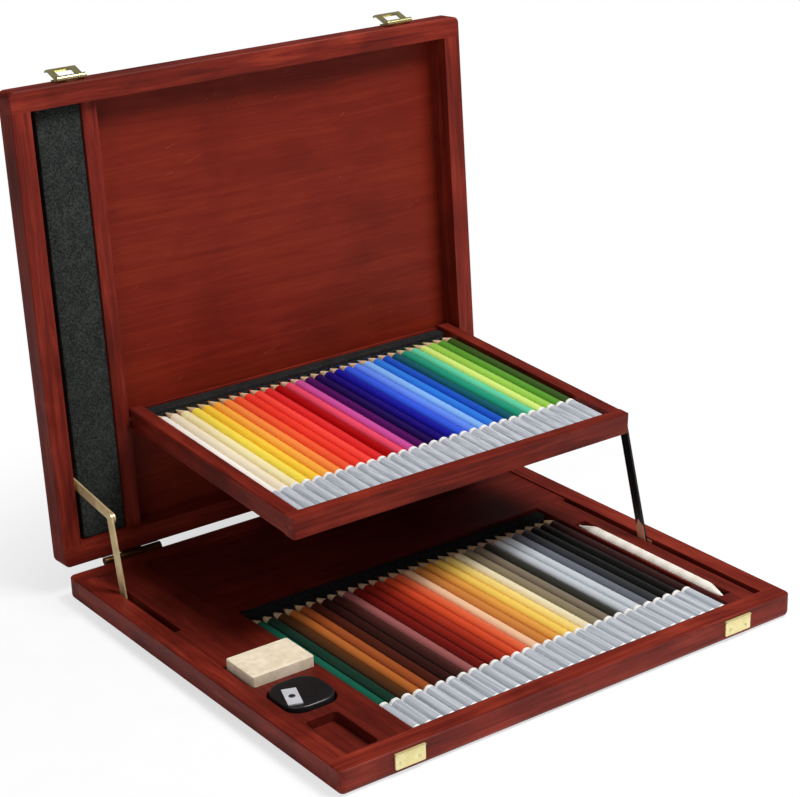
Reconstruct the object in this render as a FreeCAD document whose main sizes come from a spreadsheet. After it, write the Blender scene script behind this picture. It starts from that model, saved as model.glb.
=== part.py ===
import FreeCAD, Part
import math
import os
from types import SimpleNamespace

import Sketcher

# A hinged wooden pencil case, standing open.  The shallow base holds a row of
# pencils and small tools, the lid carries a pencil tray on two pins, and a flat
# arm lifts the front of that tray when the lid opens.  A two-link stay on the
# left holds the lid.  Millimetres, degrees, +X right, +Y to the back, +Z up.
# The origin is the centre of the underside of the base.
#
# Everything on the lid and the tray is drawn closed and then placed open.

SIZES = {
    # the case
    "base_h": 16.0,             # height of the base
    "lid_h": 19.0,              # height of the lid
    "rail_w": 13.2,             # width of the frame rails
    "seam": 0.4,                # slit between the closed rims
    "base_round": 4.0,          # rounding of the lower outer edges
    "lid_round": 4.5,           # rounding of the upper outer edges
    "rim_ease": 0.8,            # light rounding of the rim's outer edges
    "panel_lap": 5.0,           # how far a panel lies under its rails
    "floor_t": 3.0,             # base panel
    "lid_panel_t": 3.0,         # lid panel
    "fit_gap": 0.1,             # slack round a panel in its rebate
    # opening
    "open_deg": 93.0,           # how far the lid stands open
    "hinge_back": 3.0,          # hinge axis behind the rear faces
    # pencils
    "pencil_d": 8.0,
    "pencil_l": 175.0,
    "pencil_cone": 12.0,        # sharpened length
    "pencil_point": 0.5,        # radius of the point
    "pencil_pitch": 8.06,
    "pencil_count": 30,
    "stick_sides": 10,          # flat sides that stand for a round stick
    "pencil_gap": 0.2,          # under and beside a pencil
    "row_gap": 0.3,             # beside a row of pencils
    "end_gap": 1.0,             # before the blunt ends
    "tip_gap": 0.6,             # between the points and the foam
    "pencil_drop": 1.5,         # pencils below the rim round them
    "cushion_t": 8.8,           # foam strip behind the points
    "cushion_gap": 0.3,         # foam to wood
    "cushion_drop": 2.6,        # foam below the rim round it
    # the tray
    "arm_room": 3.4,            # between the tray and the right rails
    "tray_h": 13.5,
    "tray_rail_w": 9.6,
    "tray_back_t": 5.0,         # thin rear rail
    "tray_back_drop": 2.0,      # rear rail below the side rails
    "tray_lift": 1.2,           # tray above the lid's rim when closed
    "tray_floor_t": 3.0,
    "tray_floor_lap": 4.0,      # floor let into the rails
    "tray_ease": 0.8,
    "tray_corner": 2.0,
    "tray_heel": 3.0,           # rounding that passes the lid's panel
    "side_gap": 1.5,            # tray to the divider
    # lift of the tray
    "crank": 88.5,              # lid hinge to tray pivot, along the lid
    "pivot_in": 7.0,            # pivot from the tray's rear and top faces
    "pivot_r": 2.0,
    "pivot_depth": 8.0,         # pin in the tray's side rail
    "pin_gap": 0.08,            # running gap round every pin
    "front_room": 18.0,         # before the closed tray
    "stud_in": 7.3,             # front pivot from the tray's front face
    "arm_drop": 4.0,            # front pivot below the rear one
    "tilt_deg": 3.4,            # nose-down tilt of the lifted tray
    "arm_turn_deg": 99.0,       # turn of the arm while the lid opens
    "arm_w": 7.0,
    "arm_t": 1.5,
    "arm_off": 0.8,             # arm plane from the tray's side
    "arm_round": 3.3,
    "stud_r": 3.0,              # stud on the tray's side
    "stud_t": 0.4,
    "rivet_r": 2.6,
    "rivet_t": 0.5,
    "arm_pin_r": 1.5,
    "arm_plate_t": 0.7,
    "arm_plate_w": 12.0,
    "arm_plate_up": 3.4,
    "arm_plate_down": 6.0,
    "foot_l": 17.0,             # copper sleeve at the arm's lower end
    "foot_t": 0.4,
    "foot_point": 5.0,
    # boards inside the base
    "board_drop": 1.0,          # boards below the rim
    "front_strip_w": 2.0,
    "tools_w": 46.26,           # left boards, the front one for the tools
    "right_board_w": 21.4,
    "board_gap": 0.2,           # right board to the arm's slot
    "board_joint": 14.0,        # joint of the left boards, before the stay's slot
    # things in the base
    "stump_r": 4.5,
    "stump_l": 139.0,
    "stump_cone": 13.0,
    "stump_point": 0.8,
    "stump_gap": 0.3,
    "stump_sunk": 7.0,          # depth of its groove
    "stump_front": 12.0,        # groove from the front rail
    "stump_side": 6.6,          # axis from the pencil bay
    "eraser_end": 1.9,         # eraser from the pencil bay
    "eraser_d": 30.0,
    "eraser_t": 11.2,
    "eraser_round": 1.8,
    "eraser_side": 1.4,         # eraser from the left rail
    "eraser_back": 40.5,        # eraser behind the sharpener
    "eraser_sunk": 4.7,
    "tool_gap": 0.8,            # round a tool in its recess
    "tool_seat": 0.2,           # under a tool
    "recess_round": 3.0,
    "sharp_end": 10.96,         # sharpener from the pencil bay
    "sharp_d": 34.0,
    "sharp_t": 9.0,
    "sharp_round": 11.0,
    "sharp_side": 1.3,
    "sharp_front": 71.3,        # sharpener behind the front rail
    "sharp_sunk": 6.0,
    "sharp_hole_r": 3.3,
    "sharp_hole_l": 14.0,
    "sharp_ease": 1.2,
    "blade_w": 8.8,
    "blade_d": 18.5,
    "blade_t": 0.8,
    "blade_in": 4.1,            # blade from the sharpener's left end
    "blade_back": 3.0,          # middle of the blade before that of the sharpener
    "blade_turn_deg": 20.0,     # blade turned clockwise, seen from above
    "blade_screw_r": 2.0,
    "blade_screw_t": 0.7,
    "spare_end": 22.26,         # small empty recess from the pencil bay
    "spare_d": 42.0,
    "spare_sunk": 6.0,
    "spare_side": 2.0,
    "spare_front": 2.5,
    # left bay of the lid
    "divider_w": 10.0,
    "divider_drop": 5.6,
    "stay_room": 6.0,           # free strip beside the left rails
    "foam_drop": 6.8,           # foam below the lid's rim
    "foam_gap": 0.3,
    # folding stay
    "stay_y": 50.0,             # base pivot before the hinge axis
    "stay_z": 7.0,              # base pivot below it
    "stay_up_y": 56.0,          # lid pivot before the hinge axis, closed
    "stay_up_z": 8.0,           # lid pivot above it, closed
    "link_w": 7.0,
    "link_t": 1.2,
    "link_round": 3.3,
    "link_gap": 0.4,            # between the two links' planes
    "plate_t": 1.1,
    "plate_gap": 0.3,
    "plate_w": 14.0,
    "plate_h": 9.0,
    "plate_round": 2.0,
    "stay_pin_r": 1.5,
    "stay_pin_out": 0.3,
    "boss_r": 3.0,
    "stay_floor": 5.0,          # bottom of the slot for the folded links
    "stay_end": 8.0,            # slot beyond the pivots
    # butt hinges
    "hinge_in": 49.0,           # middle of a hinge from the case's side
    "hinge_w": 42.0,
    "leaf_t": 1.2,
    "leaf_low": 4.5,            # lower edge of a leaf above the underside
    "leaf_clear": 2.9,          # plate edge from the hinge axis
    "knuckle_r": 2.6,
    "knuckle_gap": 0.2,
    "hinge_pin_r": 1.1,
    "knuckle_count": 3,
    # clasps
    "clasp_in": 46.0,           # middle of a clasp from the case's side
    "clasp_w": 20.0,
    "clasp_up": 6.5,            # clasp axis above the lid's rim
    "clasp_out": 2.2,           # clasp axis before the front face
    "clasp_r": 1.8,
    "clasp_pin_r": 0.8,
    "clasp_plate_t": 1.0,
    "clasp_plate_h": 8.0,
    "clasp_mid_w": 8.0,
    "clasp_gap": 0.3,
    "flap_t": 1.0,
    "flap_l": 14.0,
    "lip_l": 2.0,
    "lip_out": 2.1,
    "flap_stand_deg": 158.0,     # flap stands out from the front face
    "window_w": 11.5,
    "window_l": 7.0,
    "window_end": 3.0,          # window from the plate's end
    "flap_round": 2.5,
    "catch_w": 20.5,
    "catch_h": 10.0,
    "catch_low": 4.0,
    "catch_t": 1.0,
    "catch_lip_h": 1.5,
    "catch_lip_out": 1.0,
    "catch_round": 1.0,
}
SAME = 1e-4                     # two coordinates this close are equal

doc = FreeCAD.newDocument("pencil_case")
sheet = doc.addObject("Spreadsheet::Sheet", "Sizes")
ROWS = []


def add_row(name, content):
    ROWS.append(name)
    sheet.set(f"A{len(ROWS)}", name)
    sheet.set(f"B{len(ROWS)}", content)
    sheet.setAlias(f"B{len(ROWS)}", name)


for name, value in SIZES.items():
    add_row(name, str(value))
doc.recompute()


class Size:
    """A number together with the sheet expression that gives it."""

    def __init__(self, value, text):
        self.value = float(value)
        self.text = text

    def _join(self, other, sign, swap=False):
        other = other if isinstance(other, Size) else Size(other, repr(float(other)))
        one, two = (other, self) if swap else (self, other)
        value = {"+": one.value + two.value, "-": one.value - two.value,
                 "*": one.value * two.value}[sign]
        return Size(value, f"({one.text} {sign} {two.text})")

    def __add__(self, other):
        return self._join(other, "+")

    def __radd__(self, other):
        return self._join(other, "+", swap=True)

    def __sub__(self, other):
        return self._join(other, "-")

    def __rsub__(self, other):
        return self._join(other, "-", swap=True)

    def __mul__(self, other):
        return self._join(other, "*")

    __rmul__ = __mul__

    def __truediv__(self, number):
        return Size(self.value / float(number), f"({self.text} / {float(number)!r})")

    def __neg__(self):
        return Size(-self.value, f"(-1.0 * {self.text})")


S = SimpleNamespace(**{name: Size(value, f"Sizes.{name}") for name, value in SIZES.items()})
ZERO = S.seam * 0


def worked_out(name, size):
    """Puts a size that follows from others into a cell of its own."""
    add_row(name, "=" + size.text.replace("Sizes.", ""))
    return Size(size.value, f"Sizes.{name}")


PLANES = {"XY": "XY_Plane", "XZ": "XZ_Plane", "YZ": "YZ_Plane"}
NODES = []


def node(label):
    """A body that becomes one named piece of the case."""
    body = doc.addObject("PartDesign::Body", label)
    body.Label = label
    body.AllowCompound = False
    NODES.append(body)
    return body


def origin(body, role):
    return next(part for part in body.Origin.OriginFeatures if part.Role == role)


def sketch_on(body, plane, offset):
    """An empty sketch on one of the body's own planes, moved along the plane's normal."""
    sketch = body.newObject("Sketcher::SketchObject", f"{body.Name}_sketch")
    sketch.AttachmentSupport = (origin(body, PLANES[plane]), [""])
    sketch.MapMode = "FlatFace"
    sketch.setExpression("AttachmentOffset.Base.z", offset.text)
    return sketch


def pin_down(sketch, geometry, end, point):
    """Ties one end of a line, or a centre, to the sheet."""
    for kind, place in zip(("DistanceX", "DistanceY"), point):
        index = sketch.addConstraint(Sketcher.Constraint(kind, -1, 1, geometry, end, place.value))
        sketch.setExpression(f"Constraints[{index}]", place.text)


def draw(sketch, points):
    """A closed outline through points that the sheet gives."""
    count = len(points)
    ends = [FreeCAD.Vector(u.value, v.value, 0) for u, v in points]
    for k in range(count):
        sketch.addGeometry(Part.LineSegment(ends[k], ends[(k + 1) % count]))
    for k in range(count):
        sketch.addConstraint(Sketcher.Constraint("Coincident", k, 2, (k + 1) % count, 1))
        pin_down(sketch, k, 1, points[k])


def extrude(body, sketch, plane, low, high, cut):
    """Pads or cuts a sketch from low to high along the plane's axis."""
    kind = "Pocket" if cut else "Pad"
    feature = body.newObject(f"PartDesign::{kind}", f"{body.Name}_{kind.lower()}")
    feature.Profile = sketch
    feature.Reversed = cut
    feature.setExpression("Length", (high - low).text)
    return feature


def start_of(plane, low, high):
    """The XZ plane's normal points to the front, so a sketch there starts at the high end."""
    return -high if plane == "XZ" else low


def prism(body, plane, points, low, high, cut=False):
    sketch = sketch_on(body, plane, start_of(plane, low, high))
    draw(sketch, points)
    return extrude(body, sketch, plane, low, high, cut)


def drum(body, plane, centre, radius, low, high, cut=False):
    sketch = sketch_on(body, plane, start_of(plane, low, high))
    middle = FreeCAD.Vector(centre[0].value, centre[1].value, 0)
    sketch.addGeometry(Part.Circle(middle, FreeCAD.Vector(0, 0, 1), radius.value))
    pin_down(sketch, 0, 3, centre)
    index = sketch.addConstraint(Sketcher.Constraint("Radius", 0, radius.value))
    sketch.setExpression(f"Constraints[{index}]", radius.text)
    return extrude(body, sketch, plane, low, high, cut)


def block(body, x, y, z, cut=False):
    """A box between two values on each axis."""
    corners = [(x[0], y[0]), (x[1], y[0]), (x[1], y[1]), (x[0], y[1])]
    return prism(body, "XY", corners, z[0], z[1], cut)


def stick(body, radius, length, taper, point, *places):
    """A many-sided stick along +Y, tapered to a point at the ends that the places give."""
    sides = SIZES["stick_sides"]
    turns = [2 * math.pi * (k + 1 / 2) / sides for k in range(sides)]
    prism(body, "XZ", [(radius * math.cos(turn), radius * math.sin(turn)) for turn in turns],
          ZERO, length)
    doc.recompute()
    tip = body.Tip
    flat_share = math.cos(math.pi / sides)
    cut = body.newObject("PartDesign::Chamfer", f"{body.Name}_taper")
    cut.Base = (tip, edges_at(tip.Shape, places))
    cut.ChamferType = "Two distances"
    cut.setExpression("Size", taper.text)
    cut.setExpression("Size2", (flat_share * (radius - point)).text)
    return [tip, cut]


def edges_at(shape, places):
    """Names of the edges whose ends lie on all the planes of one place."""
    names = []
    for number, edge in enumerate(shape.Edges, start=1):
        for place in places:
            if all(abs(getattr(corner.Point, axis) - value.value) < SAME
                   for corner in edge.Vertexes for axis, value in place.items()):
                names.append(f"Edge{number}")
                break
    return names


def worked(body, kind, size_name, size, places):
    doc.recompute()
    tip = body.Tip
    names = edges_at(tip.Shape, places)
    if not names:
        raise RuntimeError(f"{body.Label}: no such edge")
    feature = body.newObject(f"PartDesign::{kind}", f"{body.Name}_{kind.lower()}")
    feature.Base = (tip, names)
    feature.setExpression(size_name, size.text)
    return feature


def rounded(body, radius, *places):
    """Rounds the straight edges that lie where the places say."""
    return worked(body, "Fillet", "Radius", radius, places)


def eased(body, size, *places):
    """Takes the sharpness off such edges with a narrow bevel."""
    return worked(body, "Chamfer", "Size", size, places)


# Where things are, with the lid closed
row_w = worked_out("row_w", S.pencil_pitch * (SIZES["pencil_count"] - 1) + S.pencil_d)
half_w = worked_out("half_w", (
    2 * S.rail_w + S.tools_w + row_w + 2 * S.row_gap + S.right_board_w + S.board_gap + S.arm_room) / 2)
pencil_room = worked_out("pencil_room", S.end_gap + S.pencil_l + S.tip_gap)
tray_d = worked_out("tray_d", (
    S.tray_rail_w + pencil_room + S.cushion_t + S.cushion_gap + S.tray_back_t))
half_d = worked_out("half_d", (
    S.rail_w + S.front_room + tray_d + S.crank - S.hinge_back - S.pivot_in) / 2)
left_in = worked_out("left_in", S.rail_w - half_w)
right_in = worked_out("right_in", half_w - S.rail_w)
front_in = worked_out("front_in", S.rail_w - half_d)
back_in = worked_out("back_in", half_d - S.rail_w)
board_z = S.base_h - S.board_drop
lid_low = worked_out("lid_low", S.base_h + S.seam)
lid_high = worked_out("lid_high", lid_low + S.lid_h)
ceiling = lid_high - S.lid_panel_t
hinge_y = worked_out("hinge_y", half_d + S.hinge_back)
hinge_z = worked_out("hinge_z", S.base_h + S.seam / 2)
hinge_x, clasp_x = half_w - S.hinge_in, half_w - S.clasp_in

tray_right = worked_out("tray_right", right_in - S.arm_room)
tray_left = worked_out("tray_left", tray_right - row_w - 2 * (S.row_gap + S.tray_rail_w))
tray_low = worked_out("tray_low", lid_low + S.tray_lift)
tray_high = worked_out("tray_high", tray_low + S.tray_h)
pivot_y = worked_out("pivot_y", hinge_y - S.crank)
pivot_z = worked_out("pivot_z", tray_high - S.pivot_in)
tray_back = worked_out("tray_back", pivot_y + S.pivot_in)
tray_front = worked_out("tray_front", tray_back - tray_d)
stud_y = tray_front + S.stud_in

bay_right = worked_out("bay_right", tray_right - S.board_gap - S.right_board_w)
bay_left = worked_out("bay_left", bay_right - row_w - 2 * S.row_gap)
bay_front = worked_out("bay_front", front_in + S.front_strip_w)
bay_back = worked_out("bay_back", bay_front + pencil_room + S.cushion_t + S.cushion_gap)

divider_right = tray_left - S.side_gap
divider_left = divider_right - S.divider_w
foam_left = left_in + S.stay_room


# The base frame
def panel_rebate(body, x, y, low, high):
    """The step under the rails that takes a panel, cut out of one rail."""
    block(body, x, y, (low, high), cut=True)


lap_x = (left_in - S.panel_lap, right_in + S.panel_lap)
lap_y = (front_in - S.panel_lap, back_in + S.panel_lap)


def frame(prefix, low, high, panel, outer, round_size):
    """Four rails, the front and rear ones running right across, with a rebate for the panel."""
    rim = lid_low if prefix == "lid" else S.base_h
    for name, x, y in (
        ("front", (-half_w, half_w), (-half_d, front_in)),
        ("rear", (-half_w, half_w), (back_in, half_d)),
        ("left", (-half_w, left_in), (front_in, back_in)),
        ("right", (right_in, half_w), (front_in, back_in)),
    ):
        rail = node(f"{prefix}_{name}_rail")
        block(rail, x, y, (low, high))
        panel_rebate(rail, lap_x if name in ("front", "rear") else (
            (lap_x[0], left_in) if name == "left" else (right_in, lap_x[1])),
            (lap_y[0], front_in) if name == "front" else (
            (back_in, lap_y[1]) if name == "rear" else (front_in, back_in)), *panel)
        if name in ("front", "rear"):
            face = -half_d if name == "front" else half_d
            rounded(rail, round_size, {"y": face, "z": outer},
                    {"x": -half_w, "y": face}, {"x": half_w, "y": face},
                    {"x": -half_w, "z": outer}, {"x": half_w, "z": outer})
            eased(rail, S.rim_ease, {"y": face, "z": rim})
        else:
            face = -half_w if name == "left" else half_w
            rounded(rail, round_size, {"x": face, "z": outer})
            eased(rail, S.rim_ease, {"x": face, "z": rim})


frame("base", ZERO, S.base_h, (ZERO, S.floor_t), ZERO, S.base_round)

floor = node("base_floor_panel")
block(floor, (lap_x[0] + S.fit_gap, lap_x[1] - S.fit_gap),
      (lap_y[0] + S.fit_gap, lap_y[1] - S.fit_gap), (ZERO, S.floor_t))

# Boards that fill the base round the lower pencils
bay_z = S.base_h - S.pencil_drop - S.pencil_d - S.pencil_gap
stay_slot = (hinge_y - S.stay_y - S.stay_up_y - S.stay_end, hinge_y - S.stay_y + S.stay_end)
eraser_x = (left_in + S.eraser_side, bay_left - S.eraser_end)
sharp_xs = (left_in + S.sharp_side, bay_left - S.sharp_end)
spare_x = (left_in + S.spare_side, bay_left - S.spare_end)
sharp_y = front_in + S.sharp_front
eraser_mid = sharp_y + S.eraser_back
eraser_y = (eraser_mid - S.eraser_d / 2, eraser_mid + S.eraser_d / 2)
sharp_ys = (sharp_y - S.sharp_d / 2, sharp_y + S.sharp_d / 2)
spare_y = (front_in + S.spare_front, front_in + S.spare_front + S.spare_d)

bay = node("base_pencil_bed")
block(bay, (bay_left, bay_right), (bay_front, bay_back), (S.floor_t, bay_z))

strip = node("base_front_strip")
block(strip, (bay_left, bay_right), (front_in, bay_front), (S.floor_t, board_z))

rear_board = node("base_rear_board")
block(rear_board, (bay_left, right_in), (bay_back, back_in), (S.floor_t, board_z))

boards_meet = stay_slot[0] - S.board_joint
left_board = node("base_left_board")
block(left_board, (left_in, bay_left), (boards_meet, back_in), (S.floor_t, board_z))
block(left_board, (left_in, foam_left), stay_slot, (S.stay_floor, board_z), cut=True)

tool_board = node("base_tool_board")
block(tool_board, (left_in, bay_left), (front_in, boards_meet), (S.floor_t, board_z))


def recess(body, x, y, slack, sunk, corner):
    """A recess with rounded corners, sunk from the top of the board."""
    x, y = (x[0] - slack, x[1] + slack), (y[0] - slack, y[1] + slack)
    block(body, x, y, (board_z - sunk, board_z), cut=True)
    rounded(body, corner, *({"x": u, "y": v} for u in x for v in y))


recess(tool_board, eraser_x, eraser_y, S.tool_gap, S.eraser_sunk, S.recess_round)
recess(tool_board, sharp_xs, sharp_ys, S.tool_gap, S.sharp_sunk, S.sharp_round)
recess(tool_board, spare_x, spare_y, ZERO, S.spare_sunk, S.recess_round)

stump_x = bay_right + S.stump_side
groove_r = S.stump_r + S.stump_gap
groove_y = (front_in + S.stump_front, front_in + S.stump_front + S.stump_l + 2 * S.stump_gap)
right_board = node("base_right_board")
block(right_board, (bay_right, tray_right - S.board_gap), (front_in, bay_back), (S.floor_t, board_z))
block(right_board, (stump_x - groove_r, stump_x + groove_r), groove_y,
      (board_z - S.stump_sunk, board_z), cut=True)


# Rows of pencils
def pencil_row(label, x, y, z):
    """Pencils side by side, points to the back; drawn at the origin and then placed."""
    body = node(label)
    body.AllowCompound = True
    radius = S.pencil_d / 2
    shaped = stick(body, radius, S.pencil_l, S.pencil_cone, S.pencil_point, {"y": S.pencil_l})
    row = body.newObject("PartDesign::LinearPattern", f"{label}_pattern")
    row.Originals = shaped
    row.Direction = (origin(body, "X_Axis"), [""])
    row.setExpression("Length", (S.pencil_pitch * (SIZES["pencil_count"] - 1)).text)
    row.Occurrences = SIZES["pencil_count"]
    body.Tip = row
    body.Placement = FreeCAD.Placement(
        FreeCAD.Vector((x + radius).value, y.value, (z + radius).value), FreeCAD.Rotation())
    return body


def cushion(label, x, y, low, high, axis_z):
    """Foam behind the points, with a ramp that runs under the sharpened cones."""
    body = node(label)
    back, wall = y[1], y[1] - S.cushion_t
    cone = wall - S.tip_gap - S.pencil_cone
    under = axis_z - S.pencil_point - 2 * S.cushion_gap
    prism(body, "YZ", [(cone + 4 * S.tip_gap, low), (back, low), (back, high), (wall, high),
                       (wall, under)],
          x[0] + S.cushion_gap, x[1] - S.cushion_gap)
    return body


pencil_row("lower_pencils", bay_left + S.row_gap, bay_front + S.end_gap, bay_z + S.pencil_gap)
cushion("base_tip_foam", (bay_left, bay_right), (bay_front, bay_back - S.cushion_gap),
        bay_z + S.cushion_gap, S.base_h - S.cushion_drop,
        bay_z + S.pencil_gap + S.pencil_d / 2)

# Tools that lie in the base
eraser = node("eraser")
eraser_low = board_z - S.eraser_sunk + S.tool_seat
block(eraser, eraser_x, eraser_y, (eraser_low, eraser_low + S.eraser_t))
rounded(eraser, S.eraser_round, *({"x": u, "y": v} for u in eraser_x for v in eraser_y))

sharp_low = board_z - S.sharp_sunk + S.tool_seat
sharp_high = sharp_low + S.sharp_t
sharpener = node("sharpener_body")
block(sharpener, sharp_xs, sharp_ys, (sharp_low, sharp_high))
rounded(sharpener, S.sharp_round, *({"x": u, "y": v} for u in sharp_xs for v in sharp_ys))
blade_x = sharp_xs[0] + S.blade_in + S.blade_w / 2
blade_y = sharp_y - S.blade_back
drum(sharpener, "XZ", (blade_x, sharp_low + S.sharp_t / 2), S.sharp_hole_r,
     sharp_ys[1] - S.sharp_hole_l, sharp_ys[1], cut=True)
blade = node("sharpener_blade")
block(blade, (-S.blade_w / 2, S.blade_w / 2), (-S.blade_d / 2, S.blade_d / 2),
      (sharp_high, sharp_high + S.blade_t))
blade.Placement = FreeCAD.Placement(
    FreeCAD.Vector(blade_x.value, blade_y.value, 0),
    FreeCAD.Rotation(FreeCAD.Vector(0, 0, 1), -SIZES["blade_turn_deg"]))
screw = node("sharpener_screw")
drum(screw, "XY", (blade_x, blade_y), S.blade_screw_r,
     sharp_high + S.blade_t, sharp_high + S.blade_t + S.blade_screw_t)

stump = node("paper_stump")
stick(stump, S.stump_r, S.stump_l, S.stump_cone, S.stump_point, {"y": ZERO}, {"y": S.stump_l})
stump.Placement = FreeCAD.Placement(FreeCAD.Vector(
    stump_x.value, (groove_y[0] + S.stump_gap).value,
    (board_z - S.stump_sunk + S.stump_gap + S.stump_r).value), FreeCAD.Rotation())


# Where the links are, closed and open
def rolled(point, degrees):
    """A (y, z) pair turned about +X."""
    turn = math.radians(degrees)
    y, z = point
    return (y * math.cos(turn) - z * math.sin(turn), y * math.sin(turn) + z * math.cos(turn))


def added(one, two):
    return (one[0] + two[0], one[1] + two[1])


def taken(one, two):
    return (one[0] - two[0], one[1] - two[1])


def centre_of_turn(start, end, degrees):
    """The fixed point of the turn that carries start to end."""
    turn = math.radians(degrees)
    middle = ((start[0] + end[0]) / 2, (start[1] + end[1]) / 2)
    chord = taken(end, start)
    reach = 1 / (2 * math.tan(turn / 2))
    return (middle[0] - chord[1] * reach, middle[1] + chord[0] * reach)


open_deg = SIZES["open_deg"]
hinge_at = (hinge_y.value, hinge_z.value)
pivot_closed = (pivot_y.value, pivot_z.value)
pivot_open = added(hinge_at, rolled(taken(pivot_closed, hinge_at), -open_deg))
reach_closed = (stud_y.value - pivot_y.value, -SIZES["arm_drop"])
front_closed = added(pivot_closed, reach_closed)
front_open = added(pivot_open, rolled(reach_closed, SIZES["tilt_deg"]))
arm_at = centre_of_turn(front_closed, front_open, -SIZES["arm_turn_deg"])
arm_line = taken(front_open, arm_at)
arm_l = math.hypot(*arm_line)
stay_at = (hinge_at[0] - SIZES["stay_y"], hinge_at[1] - SIZES["stay_z"])
stay_arm = (-SIZES["stay_up_y"], SIZES["stay_up_z"])
stay_up_open = added(hinge_at, rolled(stay_arm, -open_deg))
knee_open = added(stay_at, taken(stay_up_open, hinge_at))


def placed(point, degrees, x=0.0):
    """A placement that turns about +X and then moves its origin to the point."""
    return FreeCAD.Placement(FreeCAD.Vector(x, *point),
                             FreeCAD.Rotation(FreeCAD.Vector(1, 0, 0), degrees))


def carried(body, at, to, degrees):
    """Carries a body from the closed case to the open one, about the point that moves."""
    body.Placement = placed(to, degrees).multiply(placed(at, 0).inverse()).multiply(body.Placement)


def on_lid(*bodies):
    for body in bodies:
        carried(body, hinge_at, hinge_at, -open_deg)


def on_tray(*bodies):
    for body in bodies:
        carried(body, pivot_closed, pivot_open, SIZES["tilt_deg"])


# The lid
first = len(NODES)
frame("lid", lid_low, lid_high, (ceiling, lid_high), lid_high, S.lid_round)
lid_panel = node("lid_panel")
block(lid_panel, (lap_x[0] + S.fit_gap, lap_x[1] - S.fit_gap),
      (lap_y[0] + S.fit_gap, lap_y[1] - S.fit_gap), (ceiling, lid_high))
divider = node("lid_divider")
block(divider, (divider_left, divider_right), (front_in, back_in),
      (lid_low + S.divider_drop, ceiling))
foam = node("lid_foam_pad")
block(foam, (foam_left, divider_left - S.foam_gap), (front_in + S.foam_gap, back_in - S.foam_gap),
      (lid_low + S.foam_drop, ceiling - S.foam_gap))

# pins that carry the rear of the tray
left_pin = node("tray_pivot_left")
drum(left_pin, "YZ", (pivot_y, pivot_z), S.pivot_r, divider_right, tray_left + S.pivot_depth)
right_pin = node("tray_pivot_right")
drum(right_pin, "YZ", (pivot_y, pivot_z), S.pivot_r, tray_right - S.pivot_depth, right_in)


# Hinges
def leaf(label, x, side):
    """One leaf with its share of the knuckles; side is -1 on the base and 1 on the lid."""
    body = node(label)
    far = S.leaf_low - hinge_z
    z = (hinge_z + far, hinge_z - S.leaf_clear) if side < 0 else (hinge_z + S.leaf_clear, hinge_z - far)
    block(body, (x - S.hinge_w / 2, x + S.hinge_w / 2), (half_d, half_d + S.leaf_t), z)
    step = S.hinge_w / SIZES["knuckle_count"]
    for k in range(0 if side < 0 else 1, SIZES["knuckle_count"], 2):
        span = (x - S.hinge_w / 2 + step * k + S.knuckle_gap / 2,
                x - S.hinge_w / 2 + step * (k + 1) - S.knuckle_gap / 2)
        edge = hinge_z + side * S.leaf_clear
        prism(body, "YZ", [(half_d, edge), (half_d + S.leaf_t, edge), (hinge_y, hinge_z),
                           (half_d, hinge_z)], *span)
        drum(body, "YZ", (hinge_y, hinge_z), S.knuckle_r, *span)
    drum(body, "YZ", (hinge_y, hinge_z), S.hinge_pin_r + S.pin_gap,
         x - S.hinge_w / 2, x + S.hinge_w / 2, cut=True)
    return body


lid_leaf_left = leaf("lid_hinge_leaf_left", -hinge_x, 1)
lid_leaf_right = leaf("lid_hinge_leaf_right", hinge_x, 1)


# Clasps on the front of the lid
clasp_y = -half_d - S.clasp_out
clasp_z = lid_low + S.clasp_up


def clasp_plate(label, x):
    """A fixed plate with the middle knuckle and the pin of a clasp."""
    body = node(label)
    half = S.clasp_w / 2
    edge = clasp_z + S.clasp_r + S.clasp_gap
    block(body, (x - half, x + half), (-half_d - S.clasp_plate_t, -half_d),
          (edge, clasp_z + S.clasp_plate_h))
    span = (x - S.clasp_mid_w / 2, x + S.clasp_mid_w / 2)
    prism(body, "YZ", [(-half_d, clasp_z), (-half_d, edge), (-half_d - S.clasp_plate_t, edge),
                       (clasp_y, clasp_z + S.clasp_r), (clasp_y, clasp_z)], *span)
    drum(body, "YZ", (clasp_y, clasp_z), S.clasp_r, *span)
    drum(body, "YZ", (clasp_y, clasp_z), S.clasp_pin_r, x - half, x + half)
    return body


clasp_plate("clasp_plate_left", -clasp_x)
clasp_plate("clasp_plate_right", clasp_x)

# stay plate on the lid's left rail, with a boss that reaches the upper link's plane
stay_up = (hinge_y - S.stay_up_y, hinge_z + S.stay_up_z)
low_plane = left_in + S.plate_t + S.plate_gap
high_plane = low_plane + S.link_t + S.link_gap
lid_stay = node("stay_plate_lid")
block(lid_stay, (left_in, left_in + S.plate_t),
      (stay_up[0] - S.plate_w / 2, stay_up[0] + S.plate_w / 2),
      (stay_up[1] - S.plate_h / 2, stay_up[1] + S.plate_h / 2))
drum(lid_stay, "YZ", stay_up, S.boss_r, left_in + S.plate_t, high_plane - S.plate_gap)
drum(lid_stay, "YZ", stay_up, S.stay_pin_r, high_plane - S.plate_gap,
     high_plane + S.link_t + S.stay_pin_out)
on_lid(*NODES[first:])

# What the hinges, clasps, stay and arm need on the base
leaf("base_hinge_leaf_left", -hinge_x, -1)
leaf("base_hinge_leaf_right", hinge_x, -1)
for label, x in (("hinge_pin_left", -hinge_x), ("hinge_pin_right", hinge_x)):
    drum(node(label), "YZ", (hinge_y, hinge_z), S.hinge_pin_r,
         x - S.hinge_w / 2, x + S.hinge_w / 2)

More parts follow.
